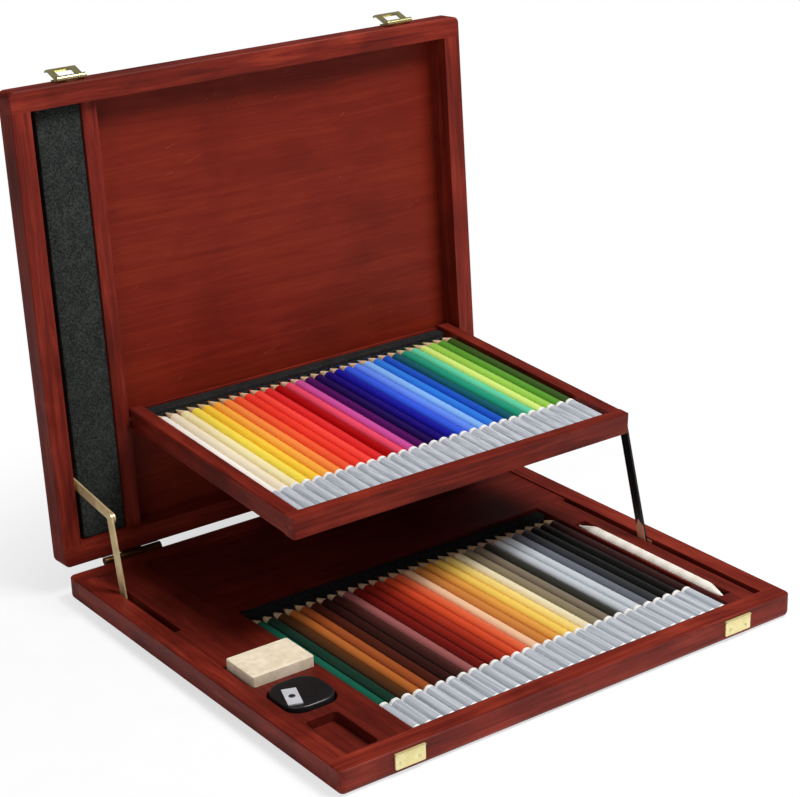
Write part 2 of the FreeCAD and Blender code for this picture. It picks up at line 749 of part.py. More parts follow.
for label, x in (("catch_plate_left", -clasp_x), ("catch_plate_right", clasp_x)):
    catch = node(label)
    face = -half_d - S.catch_t
    top = S.catch_low + S.catch_h
    half = S.catch_w / 2
    prism(catch, "YZ", [(-half_d, S.catch_low), (face, S.catch_low), (face, top - S.catch_lip_h),
                        (face - S.catch_lip_out, top), (-half_d, top)], x - half, x + half)
    rounded(catch, S.catch_round, {"x": x - half, "z": S.catch_low}, {"x": x + half, "z": S.catch_low})

base_stay = node("stay_plate_base")
stay_low = (hinge_y - S.stay_y, hinge_z - S.stay_z)
block(base_stay, (left_in, left_in + S.plate_t),
      (stay_low[0] - S.plate_w / 2, stay_low[0] + S.plate_w / 2),
      (S.stay_floor + S.plate_gap, stay_low[1] + S.plate_h / 2))
drum(base_stay, "YZ", stay_low, S.stay_pin_r, left_in + S.plate_t, low_plane + S.link_t + S.stay_pin_out)


def fixed(number):
    """A worked-out coordinate, which no single cell holds."""
    return Size(number, repr(float(number)))


arm_low = tray_right + S.arm_off
arm_high = arm_low + S.arm_t
arm_point = (fixed(arm_at[0]), fixed(arm_at[1]))
arm_plate = node("arm_pivot_plate")
block(arm_plate, (right_in - S.arm_plate_t, right_in),
      (arm_point[0] - S.arm_plate_w / 2, arm_point[0] + S.arm_plate_w / 2),
      (arm_point[1] - S.arm_plate_down, arm_point[1] + S.arm_plate_up))
drum(arm_plate, "YZ", arm_point, S.arm_pin_r, arm_low - S.foot_t, right_in - S.arm_plate_t)

# The tray
first = len(NODES)
tray_in = (tray_left + S.tray_rail_w, tray_right - S.tray_rail_w)
tray_front_in = tray_front + S.tray_rail_w
tray_back_in = tray_back - S.tray_back_t
tray_back_high = tray_high - S.tray_back_drop
tray_bed = tray_high - S.pencil_drop - S.pencil_d - S.pencil_gap
groove = (tray_bed - S.tray_floor_t, tray_bed)

front = node("tray_front_rail")
block(front, (tray_left, tray_right), (tray_front, tray_front_in), (tray_low, tray_high))
block(front, (tray_in[0] - S.tray_floor_lap, tray_in[1] + S.tray_floor_lap),
      (tray_front_in - S.tray_floor_lap, tray_front_in), groove, cut=True)
rounded(front, S.tray_corner, {"x": tray_left, "y": tray_front}, {"x": tray_right, "y": tray_front})

for label, x, lap in (
    ("tray_left_rail", (tray_left, tray_in[0]), (tray_in[0] - S.tray_floor_lap, tray_in[0])),
    ("tray_right_rail", (tray_in[1], tray_right), (tray_in[1], tray_in[1] + S.tray_floor_lap)),
):
    side = node(label)
    outer = x[0] if label == "tray_left_rail" else x[1]
    block(side, x, (tray_front_in, tray_back), (tray_low, tray_high))
    block(side, lap, (tray_front_in, tray_back_in), groove, cut=True)
    if label == "tray_left_rail":
        bore = (tray_left, tray_left + S.pivot_depth + S.fit_gap)
    else:
        bore = (tray_right - S.pivot_depth - S.fit_gap, tray_right)
    drum(side, "YZ", (pivot_y, pivot_z), S.pivot_r + S.pin_gap, *bore, cut=True)
    rounded(side, S.pivot_in - S.fit_gap, {"y": tray_back, "z": tray_high})
    rounded(side, S.tray_heel, {"y": tray_back, "z": tray_low})
    eased(side, S.tray_ease, {"x": outer, "z": tray_low})

rear = node("tray_rear_rail")
block(rear, tray_in, (tray_back_in, tray_back), (tray_low, tray_back_high))
rounded(rear, S.tray_back_t - S.fit_gap, {"y": tray_back, "z": tray_back_high})
rounded(rear, S.tray_heel, {"y": tray_back, "z": tray_low})

bed = node("tray_floor")
block(bed, (tray_in[0] - S.tray_floor_lap + S.fit_gap, tray_in[1] + S.tray_floor_lap - S.fit_gap),
      (tray_front_in - S.tray_floor_lap + S.fit_gap, tray_back_in), groove)

pencil_row("upper_pencils", tray_in[0] + S.row_gap, tray_front_in + S.end_gap, tray_bed + S.pencil_gap)
cushion("tray_tip_foam", tray_in, (tray_front_in, tray_back_in - S.cushion_gap),
        tray_bed + S.cushion_gap, tray_high - S.cushion_drop,
        tray_bed + S.pencil_gap + S.pencil_d / 2)

stud = node("tray_arm_stud")
drum(stud, "YZ", (stud_y, pivot_z - S.arm_drop), S.stud_r, tray_right, tray_right + S.stud_t)
on_tray(*NODES[first:])


# Links: drawn from their first pivot along -Y, then turned
def bar(label, length, width, corner, low, high):
    """A flat bar with rounded ends round two pivots."""
    body = node(label)
    ends = (-length - width / 2, width / 2)
    sides = (-width / 2, width / 2)
    block(body, (low, high), ends, sides)
    rounded(body, corner, *({"y": v, "z": w} for v in ends for w in sides))
    return body


def angle_of(line):
    """The turn about +X that carries -Y onto the line."""
    return math.degrees(math.atan2(-line[1], -line[0]))


arm_length = fixed(arm_l)
arm = bar("tray_arm", arm_length, S.arm_w, S.arm_round, arm_low, arm_high)
drum(arm, "YZ", (ZERO, ZERO), S.arm_pin_r + S.pin_gap, arm_low, arm_high, cut=True)
drum(arm, "YZ", (-arm_length, ZERO), S.rivet_r, arm_high, arm_high + S.rivet_t)
arm.Placement = placed(arm_at, angle_of(arm_line))

foot = node("arm_foot")
half = S.arm_w / 2 - S.fit_gap
prism(foot, "YZ", [(half, -half + S.fit_gap), (half, half - S.fit_gap),
                   (S.foot_point - S.foot_l, half), (-S.foot_l, ZERO), (S.foot_point - S.foot_l, -half)],
      arm_low - S.foot_t, arm_low)
drum(foot, "YZ", (ZERO, ZERO), S.arm_pin_r + S.pin_gap, arm_low - S.foot_t, arm_low, cut=True)
foot.Placement = placed(arm_at, angle_of(arm_line))

lower_line = taken(knee_open, stay_at)
lower_l = fixed(math.hypot(*lower_line))
lower = bar("stay_lower_link", lower_l, S.link_w, S.link_round, low_plane, low_plane + S.link_t)
drum(lower, "YZ", (ZERO, ZERO), S.stay_pin_r + S.pin_gap, low_plane, low_plane + S.link_t, cut=True)
drum(lower, "YZ", (-lower_l, ZERO), S.rivet_r, low_plane - S.rivet_t, low_plane)
drum(lower, "YZ", (-lower_l, ZERO), S.stay_pin_r, low_plane + S.link_t,
     low_plane + S.link_t + S.plate_gap)
lower.Placement = placed(stay_at, angle_of(lower_line))

upper_line = taken(knee_open, stay_up_open)
upper_l = fixed(math.hypot(*upper_line))
upper = bar("stay_upper_link", upper_l, S.link_w, S.link_round, high_plane, high_plane + S.link_t)
drum(upper, "YZ", (ZERO, ZERO), S.stay_pin_r + S.pin_gap, high_plane, high_plane + S.link_t, cut=True)
drum(upper, "YZ", (-upper_l, ZERO), S.rivet_r, high_plane + S.link_t, high_plane + S.link_t + S.rivet_t)
upper.Placement = placed(stay_up_open, angle_of(upper_line))


# Clasp flaps: drawn hanging from their axis, then stood out from the lid
def flap(label, x):
    """A flap with two side knuckles, a window and a lip that turns outwards."""
    body = node(label)
    half = S.clasp_w / 2
    back, face = -S.clasp_r + S.flap_t, -S.clasp_r
    prism(body, "YZ", [(back, ZERO), (back, -S.flap_l), (back - S.lip_out, -S.flap_l - S.lip_l),
                       (face - S.lip_out, -S.flap_l - S.lip_l + S.flap_t / 2),
                       (face, -S.flap_l + S.flap_t / 2), (face, ZERO)], -half, half)
    mid = S.clasp_mid_w / 2 + S.clasp_gap
    notch = S.clasp_r + S.clasp_gap
    block(body, (-mid, mid), (-notch, notch), (-notch, ZERO), cut=True)
    for span in ((-half, -mid), (mid, half)):
        drum(body, "YZ", (ZERO, ZERO), S.clasp_r, *span)
    drum(body, "YZ", (ZERO, ZERO), S.clasp_pin_r + S.pin_gap, -half, half, cut=True)
    block(body, (-S.window_w / 2, S.window_w / 2), (face, back),
          (-S.flap_l + S.window_end, -S.flap_l + S.window_end + S.window_l), cut=True)
    at = added(hinge_at, rolled(taken((clasp_y.value, clasp_z.value), hinge_at), -open_deg))
    body.Placement = placed(at, -open_deg - SIZES["flap_stand_deg"], x.value)
    return body


flap("clasp_flap_left", -clasp_x)
flap("clasp_flap_right", clasp_x)

# Checks, then one file for each piece
doc.recompute()
for item in doc.Objects:
    if any(word in item.State for word in ("Invalid", "Error")):
        raise RuntimeError(f"{item.Label}: {item.State}")
    if item.TypeId == "PartDesign::Pocket":
        before, after = item.BaseFeature.Shape.Volume, item.Shape.Volume
        if before - after < SAME:
            raise RuntimeError(f"{item.Label} cuts nothing")
for body in NODES:
    if body.Shape.isNull() or not body.Shape.isValid() or not body.Shape.Solids:
        raise RuntimeError(f"{body.Label}: no valid solid")

os.makedirs("parts", exist_ok=True)
for body in NODES:
    body.Shape.exportStep(f"parts/{body.Label}.step")
    print(f"{body.Label}: {len(body.Shape.Solids)} solid, {body.Shape.Volume / 1000:.2f} cm3")
print("hinge axis", hinge_at, "tray pivot", pivot_open, "tray front pivot", front_open)
print("arm pivot", arm_at, "arm length", round(arm_l, 2), "stay pivots", stay_at, stay_up_open, knee_open)
print("clasp axis open", added(hinge_at, rolled(taken((clasp_y.value, clasp_z.value), hinge_at), -open_deg)))
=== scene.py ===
# %% [markdown]
# # A wooden pencil case with a lift-up tray
#
# The object is a flat mahogany-stained case, open by a little more than a right angle. A tray
# of coloured pencils stands above the base on two pins in the lid and one black arm, and a
# second row of pencils lies in the base beside an eraser, a sharpener and a paper stump.
#
# The rigid parts arrive as a finished frame that already has the real sizes. What is made
# here is all that gives the case its look: turned pencils, foam, rubber, paper, screw heads,
# the finish of every surface, the light and the view. All lengths are in metres, and values
# that read better in millimetres are multiplied by `MM`.

# %% Load the frame
import math

import bpy
import numpy as np
from mathutils import Matrix


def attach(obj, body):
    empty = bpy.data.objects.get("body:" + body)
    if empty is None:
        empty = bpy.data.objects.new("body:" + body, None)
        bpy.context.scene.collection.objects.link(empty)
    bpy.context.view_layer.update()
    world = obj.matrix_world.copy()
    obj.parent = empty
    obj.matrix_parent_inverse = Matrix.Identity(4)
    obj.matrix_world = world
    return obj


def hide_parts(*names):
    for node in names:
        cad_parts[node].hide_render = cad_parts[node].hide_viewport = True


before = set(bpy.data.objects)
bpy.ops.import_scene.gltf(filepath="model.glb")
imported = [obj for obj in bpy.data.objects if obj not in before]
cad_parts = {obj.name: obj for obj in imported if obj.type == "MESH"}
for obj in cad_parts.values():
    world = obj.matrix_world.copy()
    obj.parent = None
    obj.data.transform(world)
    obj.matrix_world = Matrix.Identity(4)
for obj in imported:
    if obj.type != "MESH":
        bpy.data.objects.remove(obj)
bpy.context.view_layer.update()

MM = 0.001

# %% [markdown]
# ## Where the open lid and the raised tray are
#
# The case is easiest to think about when it is shut, because then everything in it is square
# with the base. The open lid is the shut lid turned by 93 degrees about the hinge line. The
# raised tray is the shut tray, tipped 3.4 degrees nose down and carried to its pins in the
# lid. So a piece of the lid or tray is shaped in the shut case, and its points then go through
# one of these two moves. Both turn about the long axis, x, so x never changes.

# %% Moves from the shut case to the open one
HINGE = (158.0, 16.2)                       # y and z of the hinge line
OPEN = math.radians(-93.0)
TRAY_FROM, TRAY_TO = (69.5, 24.1), (170.5209, 104.1653)
TIP = math.radians(3.4)


def turned(points, angle, start, end):
    """Points turned about x by an angle round start, then moved so that start lies on end.

    The new y is end's y plus dy times the cosine less dz times the sine, and the new z is
    end's z plus dy times the sine and dz times the cosine, with dy and dz counted from start.
    """
    moved = np.array(points, float)
    dy, dz = moved[..., 1] - start[0], moved[..., 2] - start[1]
    moved[..., 1] = end[0] + dy * math.cos(angle) - dz * math.sin(angle)
    moved[..., 2] = end[1] + dy * math.sin(angle) + dz * math.cos(angle)
    return moved


def as_is(points):
    """Points of the base, which doesn't move."""
    return np.array(points, float)


def in_lid(points):
    """Points of the shut lid, carried to the open lid."""
    return turned(points, OPEN, HINGE, HINGE)


def in_tray(points):
    """Points of the shut tray, carried to the raised tray."""
    return turned(points, TIP, TRAY_FROM, TRAY_TO)


print("the lid's top edge is at z", round(float(in_lid([0.0, -155.0, 16.4])[2]), 1), "mm")

# %% [markdown]
# ## Meshes from grids
#
# Almost every loose thing in the case is a grid of points with two parameters: a turned
# pencil is a profile along its length times a turn round it, and a pad is a set of shrinking
# rings. One helper turns such a grid into a closed mesh, so each piece only needs its formula.

# %% Mesh helpers
def shape_from(name, points, faces, finishes, ids=None):
    """A smooth mesh in metres from points in millimetres, with a finish number for each face."""
    mesh = bpy.data.meshes.new(name)
    mesh.from_pydata((np.asarray(points).reshape(-1, 3) * MM).tolist(), [], faces)
    for finish in finishes:
        mesh.materials.append(finish)
    if ids is not None:
        mesh.polygons.foreach_set("material_index", np.asarray(ids, np.int32))
    mesh.polygons.foreach_set("use_smooth", np.full(len(mesh.polygons), True))
    mesh.validate()
    mesh.update()
    shape = bpy.data.objects.new(name, mesh)
    bpy.context.scene.collection.objects.link(shape)
    return shape


def piece_from(name, points, faces, finishes, body, stands_for=(), ids=None):
    """A shape that rides on a body, has a slot, and may stand for solids of the frame."""
    piece = shape_from(name, points, faces, finishes, ids)
    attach(piece, body)
    if stands_for:
        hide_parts(*stands_for)
    return piece


def tube_faces(rings, sides, flip=False):
    """Faces of a closed grid of rings by sides: four-cornered bands, and one cap at each end.

    Corner k of ring j has the number j times sides plus k, and the next corner wraps round.
    """
    ring, side = np.meshgrid(np.arange(rings - 1), np.arange(sides), indexing="ij")
    after = (side + 1) % sides
    bands = np.stack([ring * sides + side, ring * sides + after,
                      (ring + 1) * sides + after, (ring + 1) * sides + side], axis=-1)
    first = np.arange(sides)[::-1]
    last = (rings - 1) * sides + np.arange(sides)
    faces = bands.reshape(-1, 4).tolist() + [first.tolist(), last.tolist()]
    return [face[::-1] for face in faces] if flip else faces


def repeated(faces, count, step):
    """The faces of one part for several equal parts, whose corner numbers are a step apart."""
    return [[corner + k * step for corner in face] for k in range(count) for face in faces]


def lathe(place, radius, sides):
    """A profile turned round the y axis, as rings of points.

    At each place along y, x and z are the radius times the cosine and the sine of the turn.
    """
    turn = np.linspace(0.0, 2 * math.pi, sides, endpoint=False)
    x, z = radius[:, None] * np.cos(turn), radius[:, None] * np.sin(turn)
    return np.stack([x, np.broadcast_to(place[:, None], x.shape), z], axis=-1)


def rounded_ring(half_x, half_y, corner, steps):
    """A rounded rectangle, anticlockwise, as points round its four corners.

    Each corner is a quarter circle: its middle plus the corner radius times cosine and sine.
    """
    corner = min(corner, half_x, half_y)
    turn = np.linspace(0.0, math.pi / 2, steps)
    angles = np.concatenate([turn + k * math.pi / 2 for k in range(4)])
    sign_x = np.repeat([1, -1, -1, 1], steps)
    sign_y = np.repeat([1, 1, -1, -1], steps)
    return np.stack([sign_x * (half_x - corner) + corner * np.cos(angles),
                     sign_y * (half_y - corner) + corner * np.sin(angles)], axis=-1)


LAYERS = 7                                  # rings in each soft edge of a block
SMALLEST_CORNER = 0.2
TOP_RINGS = (0.93, 0.8, 0.6, 0.35, 0.1)     # sizes of the rings that close the top


def soft_block(low, high, corner, edge, crown, steps):
    """Points of a block with rounded corners, soft edges and a crowned top, as stacked rings.

    Going up from the bottom, the rings grow along a quarter circle of the edge radius, run
    straight up the side, shrink along another quarter circle, and then close over the top,
    which rises towards its middle by the crown times one less the square of the ring's size.
    """
    low, high = np.array(low, float), np.array(high, float)
    middle, half = (low + high) / 2, (high - low) / 2
    turn = np.linspace(0.0, math.pi / 2, LAYERS)
    top = high[2] - crown
    inset = np.concatenate([edge * (1 - np.sin(turn)), edge * (1 - np.cos(turn))])
    height = np.concatenate([low[2] + edge * (1 - np.cos(turn)),
                             top - edge * (1 - np.sin(turn))])
    rings = []
    for d, z in zip(inset, height):
        ring = rounded_ring(half[0] - d, half[1] - d, max(corner - d, SMALLEST_CORNER), steps)
        rings.append(np.column_stack([ring, np.full(4 * steps, z)]))
    for size in TOP_RINGS:
        ring = rings[2 * LAYERS - 1].copy()
        ring[:, :2] *= size
        ring[:, 2] = top + crown * (1 - size ** 2)
        rings.append(ring)
    points = np.array(rings)
    points[..., :2] += middle[:2]
    return points


print("a soft block has", soft_block((0, 0, 0), (9, 9, 9), 2, 1, 0, 8).shape, "points")

# %% [markdown]
# ## Building finishes
#
# A finish is a small tree of noise and colour ramps. `Finish` keeps the code short: it makes
# a shader, adds nodes, and joins them by the names on their sockets. Colours are written as
# they would be picked from a picture, 0 to 255, and changed to the linear values of a shader.

# %% Finish helper
def tint(red, green, blue):
    """A picture colour as linear light: values over 0.04045 go through the 2.4 power curve."""
    c = np.array([red, green, blue]) / 255.0
    linear = np.where(c <= 0.04045, c / 12.92, ((c + 0.055) / 1.055) ** 2.4)
    return (*linear.tolist(), 1.0)


def grey(value):
    """A colour without hue, also for ramps that drive a plain number such as a roughness."""
    return (value, value, value, 1.0)


class Finish:
    """A node material with one shader, built by naming nodes and what goes into them."""

    def __init__(self, name):
        self.material = bpy.data.materials.new(name)
        self.material.use_nodes = True
        self.tree = self.material.node_tree
        self.tree.nodes.clear()
        self.out = self.tree.nodes.new("ShaderNodeOutputMaterial")
        self.shader = self.tree.nodes.new("ShaderNodeBsdfPrincipled")
        self.tree.links.new(self.shader.outputs["BSDF"], self.out.inputs["Surface"])

    def add(self, kind, take=0, settings=None, **values):
        """A node with its settings and inputs, given back as one of its outputs."""
        node = self.tree.nodes.new("ShaderNode" + kind)
        for name, value in (settings or {}).items():
            setattr(node, name, value)
        self.fill(node, values)
        return node.outputs[take]

    def fill(self, node, values):
        """Sockets are joined to a node's inputs and numbers written on them; _2 is input 2."""
        for name, value in values.items():
            key = int(name[1:]) if name[1:].isdigit() else name.replace("_", " ")
            if isinstance(value, bpy.types.NodeSocket):
                self.tree.links.new(value, node.inputs[key])
            else:
                node.inputs[key].default_value = value

    def set(self, **values):
        """The shader's inputs are filled, and the material comes back."""
        self.fill(self.shader, values)
        return self.material

    def ramp(self, factor, *stops):
        """A colour ramp with stops of (place, colour)."""
        node = self.tree.nodes.new("ShaderNodeValToRGB")
        self.tree.links.new(factor, node.inputs["Fac"])
        while len(node.color_ramp.elements) < len(stops):
            node.color_ramp.elements.new(0.5)
        for element, (place, colour) in zip(node.color_ramp.elements, stops):
            element.position, element.color = place, colour
        return node.outputs["Color"]

    def mix(self, share, first, second, blend="MIX"):
        """Two colours mixed; inputs 0, 6 and 7 of the node are the share and the colours."""
        settings = {"data_type": "RGBA", "blend_type": blend}
        return self.add("Mix", 2, settings, _0=share, _6=first, _7=second)

    def stretched(self, scale=(1.0, 1.0, 1.0), turn=(0.0, 0.0, 0.0)):
        """Object coordinates, turned and then stretched per axis."""
        place = self.add("TexCoord", "Object")
        place = self.add("Mapping", Vector=place, Rotation=turn)
        return self.add("Mapping", Vector=place, Scale=scale)

    def noise(self, place, scale, detail=3.0, rough=0.5, distort=0.0):
        """A cloud of values from 0 to 1, with a number of cells to the metre."""
        return self.add("TexNoise", "Fac", Vector=place, Scale=scale, Detail=detail,
                        Roughness=rough, Distortion=distort)

    def relief(self, height, depth, strength=1.0):
        """A bump of the given depth in metres."""
        return self.add("Bump", Height=height, Strength=strength, Distance=depth)


print("white is", tint(255, 255, 255))

# %% [markdown]
# ## The wood
#
# The case is made of a light hardwood, stained deep red-brown and lacquered. Three things
# make up its look. Fine dark pores run along the board, a few tenths of a millimetre across
# and many millimetres long. Wider bands of growth, lighter and darker, run the same way.
# The stain has also soaked in unevenly, which leaves soft clouds. On the broad panel of the
# lid the bands are fainter and the tone is more even, and a few pale scratches show.
#
# Grain follows the length of each rail, so a rail along x needs a different stretch from one
# along y. Wood in the lid is turned with it: the coordinates go back through the turn first.

# %% Wood finishes
TURNS = {"base": 0.0, "lid": -OPEN, "tray": -TIP}
X, Y, Z = range(3)
ROUGH_LACQUER, ROUGHER_IN_PORES = 0.42, 0.14


def wood(name, along, body, dark, middle, light, cloud=0.35, streak=0.75, scratches=0.0):
    """Stained wood with its grain along X, Y or Z of the shut case."""
    w = Finish(name)
    turn = (TURNS[body], 0.0, 0.0)
    pores_scale, band_scale = [1500.0] * 3, [160.0] * 3
    pores_scale[along], band_scale[along] = 45.0, 9.0
    pores = w.noise(w.stretched(pores_scale, turn), 1.0, 4.0, 0.62)
    bands = w.noise(w.stretched(band_scale, turn), 1.0, 4.0, 0.6, 1.2)
    clouds = w.noise(w.stretched(turn=turn), 17.0, 3.0, 0.55, 0.6)
    figure = w.mix(streak, clouds, bands)
    figure = w.mix(0.24, figure, pores)
    colour = w.ramp(figure, (0.3, tint(*dark)), (0.5, tint(*middle)), (0.7, tint(*light)))
    shade = w.ramp(clouds, (0.32, tint(150, 150, 150)), (0.62, tint(255, 255, 255)))
    colour = w.mix(cloud, colour, shade, "MULTIPLY")
    if scratches:
        crossing = w.stretched([26.0, 300.0, 26.0], (turn[0], 0.0, 0.35))
        nick = w.noise(crossing, 1.0, 2.0, 0.7, 2.2)
        lines = w.ramp(nick, (0.735, grey(0.0)), (0.76, grey(scratches)))
        colour = w.mix(lines, colour, tint(190, 120, 95))
    satin = w.ramp(pores, (0.3, grey(ROUGH_LACQUER + ROUGHER_IN_PORES)),
                   (0.7, grey(ROUGH_LACQUER)))
    return w.set(Base_Color=colour, Roughness=satin, Normal=w.relief(figure, 0.00012, 0.6),
                 Specular_IOR_Level=0.13, Coat_Weight=0.02, Coat_Roughness=0.3)


rail = dict(dark=(60, 15, 11), middle=(112, 32, 21), light=(152, 56, 38))
board = dict(dark=(58, 14, 10), middle=(94, 26, 17), light=(122, 40, 26))
panel = dict(dark=(90, 20, 8), middle=(109, 28, 13), light=(127, 40, 20))
finishes = {
    "rail_x": wood("wood_rail_x", X, "base", **rail),
    "rail_y": wood("wood_rail_y", Y, "base", **rail),
    "board_x": wood("wood_board_x", X, "base", **board),
    "board_y": wood("wood_board_y", Y, "base", **board),
    "lid_rail_x": wood("wood_lid_rail_x", X, "lid", **rail),
    "lid_rail_y": wood("wood_lid_rail_y", Y, "lid", **rail),
    "lid_panel": wood("wood_lid_panel", X, "lid", **panel, cloud=0.14, streak=0.6,
                      scratches=0.35),
    "tray_rail_x": wood("wood_tray_rail_x", X, "tray", **rail),
    "tray_rail_y": wood("wood_tray_rail_y", Y, "tray", **rail),
}
print(len(finishes), "wood finishes")

# %% [markdown]
# ## The metals
#
# The clasps and catch plates are thin brass sheet with a bright pale lacquer. The hinges are
# dark bronze-brown, partly brass gone dark and partly painted shade for the seam they sit in.
# The stay is a warmer, more coppery sheet. Sheet metal is rolled, which leaves very fine lines,
# and handling leaves soft smears, so the roughness changes as well as the colour. The arm is
# steel with a smooth black coat, and it stands on a small copper foot.

# %% Metal finishes
def metal(name, colour, deep, rough, along=X, shine=1.0, lines=0.10):
    """Rolled sheet: two tones in soft smears, and a roughness that follows smears and lines."""
    m = Finish(name)
    scale = [2600.0] * 3
    scale[along] = 60.0
    rolled = m.noise(m.stretched(scale), 1.0, 2.0, 0.6)
    smears = m.noise(m.stretched(), 140.0, 3.0, 0.6)
    base = m.mix(smears, tint(*colour), tint(*deep))
    gloss = m.ramp(m.mix(0.5, rolled, smears), (0.3, grey(rough)), (0.7, grey(rough + lines)))
    return m.set(Base_Color=base, Metallic=shine, Roughness=gloss,
                 Normal=m.relief(rolled, 0.00002, 0.5))


finishes.update({
    "brass": metal("metal_brass", (250, 242, 186), (214, 196, 130), 0.3, X, 0.5),
    "clasp": metal("metal_clasp", (240, 230, 170), (150, 138, 86), 0.22, X, 0.85),
    # the hinges' dark bronze-brown is partly aged brass and partly painted shade
    "bronze_and_shade": metal("metal_bronze", (122, 84, 44), (66, 42, 24), 0.36),
    "pin": metal("metal_pin", (190, 165, 105), (120, 98, 58), 0.3),
    "copper": metal("metal_copper", (248, 230, 184), (190, 154, 98), 0.32, Z, 0.5),
    "foot": metal("metal_foot", (236, 176, 146), (204, 134, 106), 0.4, Z, 0.4),
    "black": metal("metal_black", (26, 25, 25), (14, 14, 14), 0.3, Z, 0.2, 0.2),
    "screw": metal("metal_screw", (92, 92, 96), (50, 50, 54), 0.32, Y, 0.8),
    "steel": metal("metal_steel", (244, 246, 250), (196, 198, 204), 0.34, Y, 0.3),
})

# %% [markdown]
# ## Finishes go onto the frame
#
# Every rigid solid of the frame gets the finish of what it is made of. The name of a solid
# says which way its grain runs: front and rear rails run along x, side rails along y.

# %% Assign finishes to the frame's solids
worn_by = {
    "rail_x": ("base_front_rail", "base_rear_rail"),
    "rail_y": ("base_left_rail", "base_right_rail"),
    "board_x": ("base_rear_board", "base_floor_panel", "base_pencil_bed", "base_front_strip"),
    "board_y": ("base_tool_board", "base_left_board", "base_right_board"),
    "lid_rail_x": ("lid_front_rail", "lid_rear_rail"),
    "lid_rail_y": ("lid_left_rail", "lid_right_rail", "lid_divider"),
    "lid_panel": ("lid_panel",),
    "tray_rail_x": ("tray_front_rail", "tray_rear_rail", "tray_floor"),
    "tray_rail_y": ("tray_left_rail", "tray_right_rail"),
    "brass": ("catch_plate_left", "catch_plate_right"),
    "clasp": ("clasp_plate_left", "clasp_plate_right", "clasp_flap_left", "clasp_flap_right"),
    "bronze_and_shade": ("base_hinge_leaf_left", "base_hinge_leaf_right", "lid_hinge_leaf_left",
               "lid_hinge_leaf_right", "hinge_pin_left", "hinge_pin_right"),
    "pin": ("tray_pivot_left", "tray_pivot_right", "tray_arm_stud"),
    "copper": ("stay_lower_link", "stay_upper_link", "stay_plate_base", "stay_plate_lid"),
    "foot": ("arm_foot", "arm_pivot_plate"),
    "black": ("tray_arm",),
    "steel": ("sharpener_blade",),
}
for finish, nodes in worn_by.items():
    for node in nodes:
        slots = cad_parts[node].data.materials
        slots.clear()
        slots.append(finishes[finish])
print(sum(len(nodes) for nodes in worn_by.values()), "solids finished")

# %% [markdown]
# ## The pencils
#
# A pencil is a round cedar stick in a coat of coloured lacquer. Its blunt end has been dipped
# in grey, and a thin white ring closes the dip; the pale rim of that end is a painted
# highlight, where its edge would catch the light. The other end is sharpened by a machine, so
# bare wood shows in a clean cone, and the coloured lead shows at its point.
#
# All the pencils of a row are one mesh. The profile of a pencil, a radius at each place
# along it, is turned round the axis, and the whole is repeated at the pitch of the row. The
# lacquer's colour is a colour attribute, so that one finish serves the whole row.

# %% Pencil finishes and rows
def striped(finish, low, high):
    """Fine streaks along the pencils, as a grain and as a tone between two colours."""
    grain = finish.noise(finish.stretched((900.0, 14.0, 900.0)), 1.0, 3.0, 0.6)
    return grain, finish.ramp(grain, (0.3, low), (0.7, high))


def painted(finish, low, high):
    """The grain of fine streaks, and the paint of each pencil made darker by them."""
    grain, tone = striped(finish, grey(low), grey(high))
    paint = finish.add("Attribute", "Color", {"attribute_name": "paint"})
    return grain, finish.mix(1.0, paint, tone, "MULTIPLY")


def lacquer():
    """Coloured lacquer, smooth and faintly streaked."""
    f = Finish("pencil_lacquer")
    grain, colour = painted(f, 0.93, 1.0)
    return f.set(Base_Color=colour, Roughness=0.34, Specular_IOR_Level=0.3, Coat_Weight=0.08,
                 Coat_Roughness=0.2, Normal=f.relief(grain, 0.00002, 0.4))


def dipped():
    """The grey dip, with a slight metallic sheen; its wide light and dark streaks are partly
    painted highlights.
    """
    f = Finish("pencil_dip")
    # the lighter of these streaks stand for highlights along each cap: painted highlight
    grain, tone = striped(f, tint(158, 163, 172), tint(214, 218, 224))
    return f.set(Base_Color=tone, Roughness=0.34, Metallic=0.15,
                 Normal=f.relief(grain, 0.00003, 0.5))


def ring_and_rim_highlight():
    """The white of the ring, and the painted highlight on the rim of the blunt end."""
    f = Finish("pencil_ring_and_rim_highlight")
    grain, tone = striped(f, tint(226, 224, 218), tint(250, 248, 244))
    return f.set(Base_Color=tone, Roughness=0.4, Normal=f.relief(grain, 0.00002, 0.4))


def cedar():
    """The bare wood of the sharpened cone."""
    f = Finish("pencil_wood")
    grain, tone = striped(f, tint(206, 168, 126), tint(238, 212, 176))
    return f.set(Base_Color=tone, Roughness=0.62, Normal=f.relief(grain, 0.00006, 0.8))


def lead():
    """The lead, a duller and darker tone of the pencil's paint."""
    f = Finish("pencil_lead")
    grain, colour = painted(f, 0.6, 0.9)
    return f.set(Base_Color=colour, Roughness=0.5, Normal=f.relief(grain, 0.00004, 0.5))


pencil_finishes = [lacquer(), dipped(), ring_and_rim_highlight(), cedar(), lead()]
PAINT, DIP, RING_AND_HIGHLIGHT, WOOD, LEAD = range(5)
PITCH, SIDES = 8.06, 20
PUSHED_BACK = 0.4                           # the most that a pencil lies too far back

# the first pencil's x, the y of the blunt ends and the z of the axes, in the shut case
LOWER_START, UPPER_START = (-106.24, -138.8, 10.5), (-94.24, -113.2, 25.6)

# place along the pencil, radius there, and the finish of the band that starts there
PROFILE = np.array([
    # the white band from 0.25 to 1.1 is a painted highlight on the rim of the blunt end
    (0.0, 3.0, DIP), (0.25, 3.6, RING_AND_HIGHLIGHT), (1.1, 3.9, DIP), (31.0, 3.92, RING_AND_HIGHLIGHT), (31.4, 3.99, RING_AND_HIGHLIGHT),
    (33.2, 3.99, RING_AND_HIGHLIGHT), (33.5, 3.92, PAINT), (90.0, 3.92, PAINT), (162.6, 3.92, WOOD),
    (163.3, 3.7, WOOD), (171.4, 1.25, LEAD), (174.5, 0.4, LEAD), (174.8, 0.2, LEAD)])

